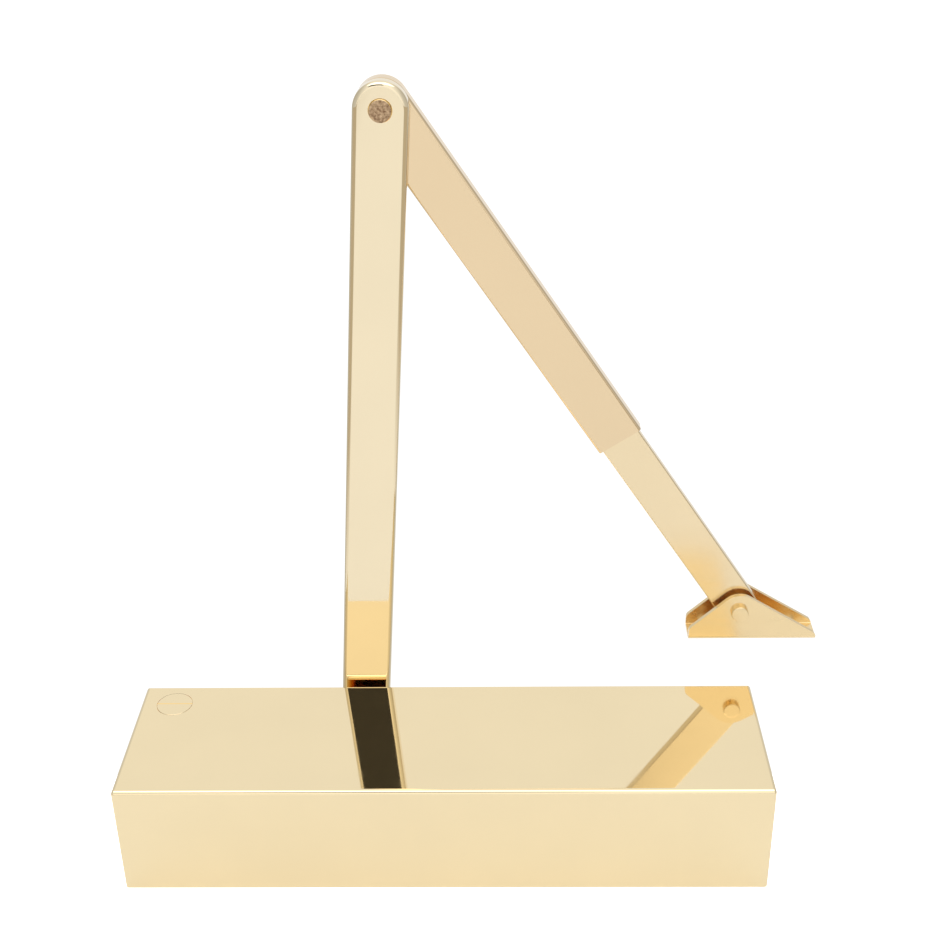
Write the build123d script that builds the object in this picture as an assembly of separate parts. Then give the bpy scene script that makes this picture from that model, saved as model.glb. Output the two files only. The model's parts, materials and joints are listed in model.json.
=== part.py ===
from build123d import *
import os
from math import acos, cos, hypot, pi, radians, sin, sqrt, tan

# Overhead door closer: rack and pinion body under a box cover, with a folding arm and its shoe.
# Row frame in millimetres: origin at the centre of the body's mounting face, +X along the body,
# +Y along the spindle towards the arm, +Z away from the door.

# Fits
seat_gap = 0.01         # between pieces that are pressed, screwed or rolled together
running_gap = 0.05      # radial clearance of a shaft in its hole
slide_gap = 0.2         # each side of a piece that slides in a folded sheet
free_gap = 0.3          # between pieces that must not touch
reach = 200.0           # longer than any cut has to be

# Cover
cover_length = 245.0
cover_height = 65.1
cover_depth = 47.0
cover_wall = 1.5
cover_edge_radius = 1.8
cover_screw_from_end = 13.6
cover_screw_from_edge = 12.0
cover_screw_head_radius = 7.0
cover_screw_recess = 0.7
cover_screw_proud = 0.1
cover_screw_radius = 2.0
cover_screw_length = 20.0
cover_screw_slot = 1.3
cover_screw_slot_depth = 0.5
cover_screw_edge = 0.2
notch_clearance = 1.5       # round the spindle's neck

# Clips that hold the cover
clip_sheet = 0.8
clip_width = 9.0
clip_y = -17.0
clip_height = 30.0
clip_foot = 12.0
clip_screw_inset = 2.0      # of the clip screw from the middle of the clip's foot
clip_screw_radius = 1.5
clip_screw_bottom = 2.0     # above the door
clip_screw_head_radius = 2.75
clip_screw_head = 1.8
clip_screw_slot = 0.8

# Body
barrel_above_door = 3.5
barrel_length = 196.0
barrel_wall = 3.0
bore_radius = 17.0
barrel_edge_radius = 3.0
base_thickness = 6.0
base_from_cover_end = 4.5
base_width = 51.0
fixing_spacing_length = 220.0
fixing_spacing_width = 19.0
fixing_hole_radius = 2.75
post_radius = 4.5
cap_thickness = 11.0
cap_outside = 6.0           # how far an end cap stands out of the barrel
boss_past_bore = 13.0       # each side, along the spindle
boss_radius = 17.0
boss_bore_radius = 13.0
oil_port_radius = 1.0
ring_minor = 1.0            # sealing rings of the end caps
ring_from_end = 2.0         # of the barrel
cap_edge = 1.0
cap_key = 10.0              # across flats of the caps' sockets
cap_key_depth = 6.0
bearing_cap_upper_thickness = 4.0
bearing_cap_lower_thickness = 3.0
bearing_key_depth = 2.0
pin_hole_radius = 0.6       # for a pin spanner

# Spindle with its pinion
spindle_x = -34.8
module_size = 1.5
pinion_teeth = 14
pressure_angle = 20.0
stub_height = 0.8           # addendum in modules
root_clearance = 0.3
backlash = 0.12             # taken off the width of each tooth
pinion_width = 14.0
journal_under_root = 0.5    # of the pinion's teeth
neck_under_journal = 0.5
square_size = 11.0
bush_length = 8.5
seal_thickness = 3.0
seal_radius = 11.0
arm_screw_hole = 16.0       # from the arm's back
swing_angle = 180.0

# Piston, spring and power adjuster
piston_head = 12.0
piston_cap_gap = 0.8
slot_margin = 1.0
check_ball_radius = 3.0
check_passage_radius = 2.0
check_passage_length = 4.0
check_ball_clearance = 0.2
check_clip_thickness = 0.8
check_clip_width = 1.4
spring_wire = 4.2
spring_turns = 9
spring_gap = 1.4            # round the spring's outside
seat_thickness = 8.0
seat_to_cap = 3.0
pilot_length = 5.0          # of the spring seat, inside the spring
power_travel = 8.0
power_screw_radius = 4.0
power_collar_radius = 6.5
power_collar_thickness = 2.0
power_screw_proud = 2.0
power_key = 5.0
power_key_depth = 4.0
power_clip_depth = 0.6
power_clip_thickness = 0.8
power_clip_width = 2.0
power_clip_opening = 3.2
valve_radius = 3.0
valve_from_barrel_side = 4.8
closing_valve_depth = 38.0
latch_valve_depth = 24.0
valve_slot_width = 0.8
valve_slot_depth = 1.2
valve_tip_length = 3.5
valve_tip_radius = 0.5
valve_tip_room = 6.0        # from the stem's end to the bottom of its hole
valve_groove_back = 12.0    # from the ring to the bottom of its hole
valve_groove_width = 0.9
valve_groove_depth = 1.0
valve_ring_minor = 0.42

# Arm
arm_lean = 3.886            # degrees from +Z towards +X
arm_tilt = 2.0              # degrees back, away from the cover
arm_centres = 254.9
arm_width = 19.5
arm_thickness = 6.0
arm_edge_radius = 1.8
arm_back_edge_radius = 0.5
arm_gap = 2.3               # from the cover to the arm at the spindle
arm_screw_radius = 3.0
arm_screw_head_radius = 5.0
arm_screw_head = 4.0
arm_screw_length = 12.0     # from the arm's back
arm_screw_edge = 0.5
arm_screw_key = 5.0
arm_screw_key_depth = 2.5
arm_washer_radius = 8.0
arm_washer_thickness = 1.6
rivet_radius = 4.1
rivet_proud = 1.5
rivet_head_radius = 6.0
rivet_head = 2.5
rivet_edge_radius = 0.4
rivet_head_edge_radius = 0.8
elbow_washer_thickness = 0.4
elbow_gap = 0.85            # from the arm's back to the sleeve
elbow_seat_depth = 0.4      # of the flat seat in the arm's back

# Forearm
forearm_angle = 33.43       # degrees from -Z towards +X
forearm_reach = 247.4       # elbow to shoe pin
sleeve_length = 155.5       # from the elbow to the cut end
sleeve_width = 18.7
sheet = 1.2
sleeve_edge_radius = 1.1
lip_slot = 8.0
slider_thickness = 4.0
slider_inner_end = 98.0     # from the elbow
slider_edge_radius = 0.4
clamp_from_end = 10.0
clamp_length = 12.0
clamp_width = 14.0
clamp_thickness = 3.0
clamp_screw_radius = 2.5
clamp_screw_head_radius = 4.25
clamp_screw_head = 3.5
clamp_corner_radius = 1.5
clamp_screw_edge = 0.4
clamp_screw_key = 4.0
clamp_screw_key_depth = 2.2
rivet_opening = 1.2         # in the lips, round the rivet's head

# Shoe
shoe_sheet = 1.8
shoe_gap = 2.0              # from the slider to each ear
shoe_left = 20.0            # from the pin to the base's ends
shoe_right = 31.8
shoe_pin_height = 13.6
shoe_apex_radius = 7.8
shoe_left_slope = 43.0
shoe_right_slope = 32.0
shoe_corner_radius = 3.0
shoe_bend_radius = 1.2
shoe_hole_left = 12.5       # from the pin
shoe_hole_right = 23.5
shoe_hole_radius = 2.2
shoe_pin_radius = 2.5
shoe_head_radius = 3.45
shoe_head = 2.0
shoe_back_head = 1.2
shoe_head_edge_radius = 0.4
shoe_washer_radius = 5.5

# Places that follow from the sizes above
half_length = cover_length / 2
half_height = cover_height / 2
inside_top = cover_depth - cover_wall
base_length = cover_length - 2 * base_from_cover_end
barrel_size = 2 * (bore_radius + barrel_wall)
barrel_end = barrel_length / 2
valve_offset = barrel_size / 2 - valve_from_barrel_side     # from the bore axis, both ways
boss_end = bore_radius + boss_past_bore
body_axis_height = barrel_above_door + barrel_size / 2      # spindle and bore axes above the door
cover_screw_x = -half_length + cover_screw_from_end
cover_screw_y = half_height - cover_screw_from_edge

pitch_radius = module_size * pinion_teeth / 2
addendum = stub_height * module_size
tip_radius = pitch_radius + addendum
root_radius = pitch_radius - addendum - root_clearance
journal_radius = root_radius - journal_under_root
neck_radius = journal_radius - neck_under_journal
travel = pitch_radius * radians(swing_angle)
rack_tip = pitch_radius - addendum          # above the bore axis
rack_root = tip_radius + root_clearance
tooth_pitch = pi * module_size
ring_major = bore_radius - ring_minor - seat_gap * 5
notch_radius = neck_radius + notch_clearance

slot_right = spindle_x + tip_radius + slot_margin
slot_left = spindle_x - tip_radius - slot_margin - travel
piston_right = slot_right + piston_head
piston_left = slot_left - piston_head
check_seat = slot_left - check_passage_length
left_cap_face = piston_left - piston_cap_gap
right_cap_face = barrel_end + cap_outside - cap_thickness
seat_right = right_cap_face - seat_to_cap
seat_left = seat_right - seat_thickness
spring_radius = bore_radius - spring_gap - spring_wire / 2

arm_front = half_height + arm_gap
arm_back = arm_front + arm_thickness / cos(radians(arm_tilt))
arm_shoulder = arm_front - neck_radius * sin(radians(arm_tilt)) - seat_gap
arm_seat = arm_back - (arm_washer_radius + slide_gap) * sin(radians(arm_tilt)) - running_gap
elbow_front = arm_front + arm_centres * sin(radians(arm_tilt))
elbow_back = elbow_front + arm_thickness / cos(radians(arm_tilt))
elbow_seat = elbow_back - elbow_seat_depth
elbow_washer_radius = rivet_head_radius + 1
sleeve_front = elbow_back + elbow_gap
web_back = sleeve_front + sheet
slider_front = web_back + slide_gap
slider_back = slider_front + slider_thickness
lip_front = slider_back + slide_gap
sleeve_back = lip_front + sheet
slider_width = sleeve_width - 2 * (sheet + slide_gap / 2)
front_ear = slider_front - shoe_gap - shoe_sheet
back_ear = slider_back + shoe_gap + shoe_sheet

square_place = Pos(spindle_x, 0, body_axis_height) * Rot(0, arm_lean, 0)
arm_place = Pos(spindle_x, arm_front, body_axis_height) * Rot(0, arm_lean, 0) * Rot(-arm_tilt, 0, 0)
arm_reach = arm_centres * cos(radians(arm_tilt))
elbow_x = spindle_x + arm_reach * sin(radians(arm_lean))
elbow_z = body_axis_height + arm_reach * cos(radians(arm_lean))
forearm_place = Pos(elbow_x, 0, elbow_z) * Rot(0, 180 - forearm_angle, 0)
shoe_x = elbow_x + forearm_reach * sin(radians(forearm_angle))
shoe_z = elbow_z - forearm_reach * cos(radians(forearm_angle))


# Shapes by their limits

def block(x_range, y_range, z_range):
    corner = Pos(x_range[0], y_range[0], z_range[0])
    size = [high - low for low, high in (x_range, y_range, z_range)]
    return corner * Box(*size, align=(Align.MIN, Align.MIN, Align.MIN))


def rod_x(start, end, radius, y=0.0, z=body_axis_height):
    turned = Pos(start, y, z) * Rot(0, 90, 0)
    return turned * Cylinder(radius, end - start, align=(Align.CENTER, Align.CENTER, Align.MIN))


def rod_y(start, end, radius, x=0.0, z=0.0):
    turned = Pos(x, start, z) * Rot(-90, 0, 0)
    return turned * Cylinder(radius, end - start, align=(Align.CENTER, Align.CENTER, Align.MIN))


def rod_z(start, end, radius, x=0.0, y=0.0):
    return Pos(x, y, start) * Cylinder(radius, end - start, align=(Align.CENTER, Align.CENTER, Align.MIN))


def ring_y(start, end, outer, inner, x=0.0, z=0.0):
    return rod_y(start, end, outer, x, z) - rod_y(start, end, inner, x, z)


def plate(outline, front, back):
    """A flat outline, drawn with x along X and y along Z, from one Y to another."""
    return extrude(Plane.XZ.offset(-back) * outline, amount=back - front)


def rounded_bar(length, width):
    """The outline of a bar from its first pivot at the origin to a second one above it."""
    return Pos(0, length / 2) * Rot(0, 0, 90) * SlotCenterToCenter(length, width)


def hex_socket_x(start, end, across_flats):
    hexagon = Plane.YZ.offset(start) * RegularPolygon(across_flats / 2, 6, major_radius=False)
    return Pos(0, 0, body_axis_height) * extrude(hexagon, amount=end - start)


def hex_socket_y(start, end, across_flats, x=0.0, z=0.0):
    return plate(Pos(x, z) * RegularPolygon(across_flats / 2, 6, major_radius=False), start, end)


# Body

def make_housing():
    barrel = block((-barrel_end, barrel_end), (-barrel_size / 2, barrel_size / 2),
                   (body_axis_height - barrel_size / 2, body_axis_height + barrel_size / 2))
    barrel = fillet(barrel.edges().filter_by(Axis.X), barrel_edge_radius)
    base = block((-base_length / 2, base_length / 2), (-base_width / 2, base_width / 2), (0, base_thickness))
    base = fillet(base.edges().filter_by(Axis.Z), barrel_edge_radius)
    boss = rod_y(-boss_end, boss_end, boss_radius, spindle_x, body_axis_height)
    boss_foot = block((spindle_x - boss_radius, spindle_x + boss_radius), (-boss_end, boss_end),
                      (0, body_axis_height))
    post = rod_z(0, inside_top - free_gap, post_radius, cover_screw_x, cover_screw_y)
    housing = barrel + base + boss + boss_foot + post
    housing -= rod_x(-barrel_end, barrel_end, bore_radius)
    housing -= rod_y(-boss_end, boss_end, boss_bore_radius, spindle_x, body_axis_height)
    housing -= rod_z(base_thickness, inside_top, cover_screw_radius + running_gap,
                     cover_screw_x, cover_screw_y)
    for x in (-fixing_spacing_length / 2, fixing_spacing_length / 2):
        for y in (-fixing_spacing_width / 2, fixing_spacing_width / 2):
            housing -= rod_z(0, base_thickness, fixing_hole_radius, x, y)
    for side, depth in ((1, closing_valve_depth), (-1, latch_valve_depth)):
        z = body_axis_height + side * valve_offset
        housing -= rod_x(-barrel_end, depth - barrel_end, valve_radius, -valve_offset, z)
        port = Cylinder(oil_port_radius, valve_offset, align=(Align.CENTER, Align.CENTER, Align.MIN))
        port_x = depth - barrel_end - 2 * oil_port_radius
        housing -= Pos(port_x, -valve_offset, z) * Rot(-90 - side * 45, 0, 0) * port
    for x in clip_screw_places():
        housing -= rod_z(clip_screw_bottom - free_gap, base_thickness, clip_screw_radius + seat_gap,
                         x, clip_y)
    return housing


def make_end_cap(side):
    """A plug in one end of the barrel, with a groove for its ring. side is -1 for left and 1 for right."""
    inner = left_cap_face if side < 0 else right_cap_face
    outer = side * (barrel_end + cap_outside)
    low, high = min(inner, outer), max(inner, outer)
    cap = rod_x(low, high, bore_radius - seat_gap)
    cap = chamfer(cap.edges().filter_by(GeomType.CIRCLE).group_by(Axis.X)[0 if side < 0 else -1], cap_edge)
    groove = groove_range(side)
    cap -= rod_x(*groove, bore_radius) - rod_x(*groove, ring_major - ring_minor - seat_gap)
    if side < 0:
        return cap - hex_socket_x(low, low + cap_key_depth, cap_key)
    return cap - rod_x(low, high, power_screw_radius + running_gap)


def groove_range(side):
    middle = side * (barrel_end - ring_from_end)
    return middle - ring_minor - seat_gap, middle + ring_minor + seat_gap


def make_end_cap_o_rings():
    ring = Rot(0, 90, 0) * Torus(ring_major, ring_minor)
    middle = barrel_end - ring_from_end
    return Compound([Pos(side * middle, 0, body_axis_height) * ring for side in (-1, 1)])


def make_bearing_bushes():
    inner = journal_radius + running_gap
    outer = boss_bore_radius - seat_gap
    high = boss_end - bearing_cap_upper_thickness
    low = high - bush_length
    return Compound([ring_y(low, high, outer, inner, spindle_x, body_axis_height),
                     ring_y(-high, -low, outer, inner, spindle_x, body_axis_height)])


def make_bearing_cap_upper():
    low, high = boss_end - bearing_cap_upper_thickness + seat_gap, boss_end
    cap = ring_y(low, high, boss_bore_radius - seat_gap, neck_radius + free_gap, spindle_x, body_axis_height)
    cap -= rod_y(low, low + seal_thickness + seat_gap, seal_radius + seat_gap, spindle_x, body_axis_height)
    for side in (-1, 1):
        cap -= rod_y(high - pin_hole_radius, high, pin_hole_radius,
                     spindle_x + side * (seal_radius + boss_bore_radius) / 2, body_axis_height)
    return cap


def make_spindle_seal():
    low = boss_end - bearing_cap_upper_thickness + seat_gap
    return ring_y(low, low + seal_thickness, seal_radius, neck_radius + running_gap,
                  spindle_x, body_axis_height)


def make_bearing_cap_lower():
    low, high = -boss_end, -boss_end + bearing_cap_lower_thickness
    cap = rod_y(low, high, boss_bore_radius - seat_gap, spindle_x, body_axis_height)
    return cap - hex_socket_y(low, low + bearing_key_depth, cap_key, spindle_x, body_axis_height)


def make_valve(side, depth):
    """A needle valve screw in the barrel's corner, slotted at its outer end."""
    z = body_axis_height + side * valve_offset
    outer, inner = free_gap - barrel_end, depth - barrel_end - valve_tip_room
    stem = rod_x(outer, inner, valve_radius - running_gap, -valve_offset, z)
    tip = Cone(valve_radius - running_gap, valve_tip_radius, valve_tip_length,
               align=(Align.CENTER, Align.CENTER, Align.MIN))
    valve = stem + Pos(inner, -valve_offset, z) * Rot(0, 90, 0) * tip
    groove = valve_groove(depth)
    valve -= (rod_x(*groove, valve_radius, -valve_offset, z)
              - rod_x(*groove, valve_radius - valve_groove_depth, -valve_offset, z))
    return valve - block((outer, outer + valve_slot_depth),
                         (-valve_offset - valve_radius, -valve_offset + valve_radius),
                         (z - valve_slot_width / 2, z + valve_slot_width / 2))


def valve_groove(depth):
    middle = depth - barrel_end - valve_groove_back
    return middle - valve_groove_width / 2, middle + valve_groove_width / 2


def make_valve_o_ring(side, depth):
    z = body_axis_height + side * valve_offset
    low, high = valve_groove(depth)
    ring = Torus(valve_radius - valve_groove_width / 2 - 2 * running_gap, valve_ring_minor)
    return Pos((low + high) / 2, -valve_offset, z) * Rot(0, 90, 0) * ring


# Cover, its screw and its clips

def make_cover():
    cover = block((-half_length, half_length), (-half_height, half_height), (0, cover_depth))
    cover = fillet(cover.edges() - cover.faces().sort_by(Axis.Z)[0].edges(), cover_edge_radius)
    cover -= block((cover_wall - half_length, half_length - cover_wall),
                   (cover_wall - half_height, half_height - cover_wall), (0, inside_top))
    opening = rod_y(0, half_height, notch_radius, spindle_x, body_axis_height)
    opening += block((spindle_x - notch_radius, spindle_x + notch_radius), (0, half_height),
                     (0, body_axis_height))
    cover -= opening
    cover -= rod_z(cover_depth - cover_screw_recess, cover_depth,
                   cover_screw_head_radius + running_gap * 2, cover_screw_x, cover_screw_y)
    return cover - rod_z(inside_top, cover_depth, cover_screw_radius + running_gap,
                         cover_screw_x, cover_screw_y)


def make_cover_screw():
    head_bottom = cover_depth - cover_screw_recess
    head_top = cover_depth + cover_screw_proud
    head = rod_z(head_bottom, head_top, cover_screw_head_radius, cover_screw_x, cover_screw_y)
    head = chamfer(head.edges().group_by(Axis.Z)[-1], cover_screw_edge)
    screw = head + rod_z(cover_depth - cover_screw_length, head_bottom, cover_screw_radius,
                         cover_screw_x, cover_screw_y)
    return screw - block((cover_screw_x - cover_screw_head_radius, cover_screw_x + cover_screw_head_radius),
                         (cover_screw_y - cover_screw_slot / 2, cover_screw_y + cover_screw_slot / 2),
                         (head_top - cover_screw_slot_depth, head_top))


def clip_screw_places():
    middle = half_length - cover_wall - free_gap - clip_foot / 2 - clip_screw_inset
    return -middle, middle


def make_cover_clips():
    clips = []
    for side, hole_x in zip((-1, 1), clip_screw_places()):
        wall = side * (half_length - cover_wall - free_gap)
        inner = wall - side * clip_sheet
        foot_end = wall - side * clip_foot
        y_range = (clip_y - clip_width / 2, clip_y + clip_width / 2)
        leg = block(sorted((wall, inner)), y_range, (base_thickness, clip_height))
        foot = block(sorted((wall, foot_end)), y_range, (base_thickness, base_thickness + clip_sheet))
        clips.append(leg + foot - rod_z(0, clip_height, clip_screw_radius + seat_gap, hole_x, clip_y))
    return Compound(clips)


def make_clip_screws():
    top = base_thickness + clip_sheet
    screws = []
    for x in clip_screw_places():
        screw = rod_z(clip_screw_bottom, top, clip_screw_radius, x, clip_y)
        screw += rod_z(top, top + clip_screw_head, clip_screw_head_radius, x, clip_y)
        screws.append(screw - block((x - clip_screw_head_radius, x + clip_screw_head_radius),
                                    (clip_y - clip_screw_slot / 2, clip_y + clip_screw_slot / 2),
                                    (top + clip_screw_head / 2, top + clip_screw_head)))
    return Compound(screws)


# Spindle and piston

def involute_point(radius, half_angle_at_pitch, side):
    """A point of a tooth's flank at a radius, for a tooth that points along +y."""
    base = pitch_radius * cos(radians(pressure_angle))
    at_pitch = tan(radians(pressure_angle)) - radians(pressure_angle)
    here = 0.0
    if radius > base:
        local = acos(base / radius)
        here = tan(local) - local
    angle = half_angle_at_pitch + at_pitch - here
    return side * radius * sin(angle), radius * cos(angle)


def pinion_outline():
    """Root disc with involute teeth, the first one pointing along +y."""
    half_angle = (tooth_pitch / 2 - backlash) / 2 / pitch_radius
    base = pitch_radius * cos(radians(pressure_angle)) + 0.01
    steps = [base + (tip_radius - base) * k / 4 for k in range(5)]
    left = [involute_point(r, half_angle, -1) for r in steps]
    right = [involute_point(r, half_angle, 1) for r in steps]
    foot = root_radius - 0.5
    foot_left = (left[0][0] * foot / base, left[0][1] * foot / base)
    foot_right = (-foot_left[0], foot_left[1])
    edge = (Polyline(foot_right, foot_left, left[0]) + Spline(*left)
            + RadiusArc(left[-1], right[-1], tip_radius) + Spline(*right) + Line(right[0], foot_right))
    tooth = make_face(edge)
    outline = Circle(root_radius)
    for k in range(pinion_teeth):
        outline += Rot(0, 0, 360 * k / pinion_teeth) * tooth
    return outline


def make_spindle():
    x, z = spindle_x, body_axis_height
    gear = plate(Pos(x, z) * pinion_outline(), -pinion_width / 2, pinion_width / 2)
    journal_end = boss_end - bearing_cap_upper_thickness
    journal = rod_y(bearing_cap_lower_thickness + free_gap - boss_end, journal_end, journal_radius, x, z)
    neck = rod_y(journal_end, arm_shoulder, neck_radius, x, z)
    square = square_place * block((-square_size / 2, square_size / 2), (arm_shoulder, arm_seat - free_gap),
                                  (-square_size / 2, square_size / 2))
    spindle = gear + journal + neck + square
    return spindle - rod_y(arm_back - arm_screw_hole, arm_back, arm_screw_radius + seat_gap, x, z)


def rack_space():
    """One tooth space of the rack, centred on x = 0, with its mouth at the teeth's tips."""
    slope = tan(radians(pressure_angle))
    half_pitch = (tooth_pitch / 2 + backlash) / 2
    mouth = half_pitch + (pitch_radius - rack_tip) * slope
    bottom = half_pitch - (rack_root - pitch_radius) * slope
    corners = [(-mouth, rack_tip - 0.1), (mouth, rack_tip - 0.1), (mouth, rack_tip),
               (bottom, rack_root), (-bottom, rack_root), (-mouth, rack_tip)]
    return make_face(Polyline(*corners, close=True))


def make_piston():
    piston = rod_x(piston_left, piston_right, bore_radius - running_gap)
    window = block((slot_left, slot_right), (-reach, reach),
                   (body_axis_height - tip_radius - slot_margin, body_axis_height + rack_tip))
    piston -= window
    count_left = int((spindle_x - slot_left) / tooth_pitch)
    count_right = int((slot_right - spindle_x) / tooth_pitch)
    for k in range(-count_left, count_right + 1):
        place = Pos(spindle_x + k * tooth_pitch, body_axis_height)
        piston -= plate(place * rack_space(), -bore_radius, bore_radius)
    piston -= rod_x(piston_left, slot_left, check_passage_radius)
    return piston - rod_x(piston_left, check_seat, check_ball_radius + check_ball_clearance)


def make_check_valve_ball():
    back = sqrt(check_ball_radius ** 2 - check_passage_radius ** 2) + running_gap * 2
    return Pos(check_seat - back, 0, body_axis_height) * Sphere(check_ball_radius)


def make_check_valve_clip():
    outer = check_ball_radius + check_ball_clearance - seat_gap
    low, high = piston_left + free_gap, piston_left + free_gap + check_clip_thickness
    return rod_x(low, high, outer) - rod_x(low, high, outer - check_clip_width)


def make_closing_spring():
    """A coil whose ends are ground flat where it meets the piston and its seat."""
    start, end = piston_right + seat_gap, seat_left - seat_gap
    pitch = (end - start) / spring_turns
    path = Helix(pitch, end - start + pitch, spring_radius)
    section = Plane(path @ 0, z_dir=path % 0) * Circle(spring_wire / 2)
    coil = sweep(section, path=path, is_frenet=True)
    coil = Pos(start - pitch / 2, 0, body_axis_height) * Rot(0, 90, 0) * coil
    return coil & block((start, end), (-bore_radius, bore_radius), (0, body_axis_height + bore_radius))


def make_spring_seat():
    seat = rod_x(seat_left, seat_right, bore_radius - running_gap)
    pilot_end = seat_left - pilot_length
    pilot = rod_x(pilot_end, seat_left, spring_radius - spring_wire / 2 - free_gap)
    return seat + pilot - rod_x(pilot_end, seat_right, power_screw_radius + running_gap)


def make_power_screw():
    outer = barrel_end + cap_outside + power_screw_proud
    shank = rod_x(seat_left - pilot_length - power_travel, outer, power_screw_radius)
    collar = rod_x(right_cap_face - power_collar_thickness - running_gap, right_cap_face - running_gap,
                   power_collar_radius)
    screw = shank + collar - hex_socket_x(outer - power_key_depth, outer, power_key)
    groove = power_clip_range()
    core = rod_x(*groove, power_screw_radius - power_clip_depth)
    return screw - (rod_x(*groove, power_screw_radius) - core)


def power_clip_range():
    outer = barrel_end + cap_outside + running_gap
    return outer, outer + power_clip_thickness


def make_power_screw_clip():
    low, high = power_clip_range()
    ring = rod_x(low + seat_gap, high - seat_gap, power_screw_radius + power_clip_width)
    ring -= rod_x(low, high, power_screw_radius - power_clip_depth + seat_gap)
    return ring - block((low, high), (-power_clip_opening / 2, power_clip_opening / 2),
                        (body_axis_height, body_axis_height + reach))


# Main arm

def make_main_arm():
    bar = plate(rounded_bar(arm_centres, arm_width), 0, arm_thickness)
    bar = fillet(bar.faces().sort_by(Axis.Y)[0].edges(), arm_edge_radius)
    bar = fillet(bar.faces().sort_by(Axis.Y)[-1].edges(), arm_back_edge_radius)
    arm = arm_place * bar
    side = square_size / 2 + seat_gap
    arm -= square_place * block((-side, side), (0, reach), (-side, side))
    arm -= rod_y(0, reach, rivet_radius + seat_gap, elbow_x, elbow_z)
    arm -= rod_y(arm_seat, reach, arm_washer_radius + slide_gap, spindle_x, body_axis_height)
    return arm - rod_y(elbow_seat, reach, elbow_washer_radius + slide_gap, elbow_x, elbow_z)


def make_arm_washer():
    return ring_y(arm_seat, arm_seat + arm_washer_thickness, arm_washer_radius,
                  arm_screw_radius + slide_gap, spindle_x, body_axis_height)


def make_arm_screw():
    head_front = arm_seat + arm_washer_thickness
    head_back = head_front + arm_screw_head
    head = rod_y(head_front, head_back, arm_screw_head_radius, spindle_x, body_axis_height)
    head = chamfer(head.edges().group_by(Axis.Y)[-1], arm_screw_edge)
    screw = head + rod_y(arm_back - arm_screw_length, head_front, arm_screw_radius,
                         spindle_x, body_axis_height)
    return screw - hex_socket_y(head_back - arm_screw_key_depth, head_back, arm_screw_key,
                                spindle_x, body_axis_height)


def make_elbow_rivet():
    front = elbow_front - rivet_proud
    head_front = web_back + elbow_washer_thickness + running_gap * 2
    shank = rod_y(front, head_front, rivet_radius, elbow_x, elbow_z)
    shank = fillet(shank.edges().group_by(Axis.Y)[0], rivet_edge_radius)
    head = rod_y(head_front, head_front + rivet_head, rivet_head_radius, elbow_x, elbow_z)
    return shank + fillet(head.edges().group_by(Axis.Y)[-1], rivet_head_edge_radius)


def make_elbow_washers():
    behind = web_back + running_gap * 2
    spans = ((elbow_seat + seat_gap, sleeve_front - running_gap),
             (behind, behind + elbow_washer_thickness - seat_gap))
    return Compound([ring_y(low, high, elbow_washer_radius, rivet_radius + seat_gap, elbow_x, elbow_z)
                     for low, high in spans])


# Forearm

def sleeve_outline(width):
    """Round at the elbow, cut square at the far end."""
    return Circle(width / 2) + Pos(0, sleeve_length / 2) * Rectangle(width, sleeve_length)


def make_forearm_sleeve():
    sleeve = plate(sleeve_outline(sleeve_width), sleeve_front, sleeve_back)
    faces = sleeve.faces().sort_by(Axis.Y)
    bends = (faces[0].edges() + faces[-1].edges()).filter_by(lambda edge: edge.center().Z < sleeve_length - 1)
    sleeve = fillet(bends, sleeve_edge_radius)
    hollow = sleeve_outline(sleeve_width - 2 * sheet) + Pos(0, sleeve_length) * Rectangle(
        sleeve_width - 2 * sheet, sheet)
    sleeve -= plate(hollow, web_back, lip_front)
    slot = Pos(0, sleeve_length / 2) * Rectangle(lip_slot, sleeve_length + sheet)
    sleeve -= plate(slot + Circle(rivet_head_radius + rivet_opening), lip_front - sheet, sleeve_back)
    sleeve -= rod_y(sleeve_front, web_back, rivet_radius + running_gap)
    return forearm_place * sleeve


def make_clamp_block():
    middle = sleeve_length - clamp_from_end
    bridge = block((-clamp_width / 2, clamp_width / 2), (sleeve_back, sleeve_back + clamp_thickness),
                   (middle - clamp_length / 2, middle + clamp_length / 2))
    bridge = fillet(bridge.edges().filter_by(Axis.Y), clamp_corner_radius)
    return forearm_place * (bridge - rod_y(sleeve_back, sleeve_back + clamp_thickness,
                                           clamp_screw_radius + running_gap, 0, middle))


def make_clamp_screw():
    middle = sleeve_length - clamp_from_end
    head_front = sleeve_back + clamp_thickness + running_gap
    head_back = head_front + clamp_screw_head
    head = rod_y(head_front, head_back, clamp_screw_head_radius, 0, middle)
    head = chamfer(head.edges().group_by(Axis.Y)[-1], clamp_screw_edge)
    screw = head + rod_y(slider_back + running_gap, head_front, clamp_screw_radius, 0, middle)
    return forearm_place * (screw - hex_socket_y(head_back - clamp_screw_key_depth, head_back,
                                                 clamp_screw_key, 0, middle))


def make_slider_bar():
    outline = Pos(0, forearm_reach) * Circle(slider_width / 2)
    middle = (slider_inner_end + forearm_reach) / 2
    outline += Pos(0, middle) * Rectangle(slider_width, forearm_reach - slider_inner_end)
    bar = plate(outline, slider_front, slider_back)
    faces = bar.faces().sort_by(Axis.Y)
    bar = fillet(faces[0].edges() + faces[-1].edges(), slider_edge_radius)
    hole = rod_y(slider_front, slider_back, shoe_pin_radius + running_gap, 0, forearm_reach)
    return forearm_place * (bar - hole)


# Shoe

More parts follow.
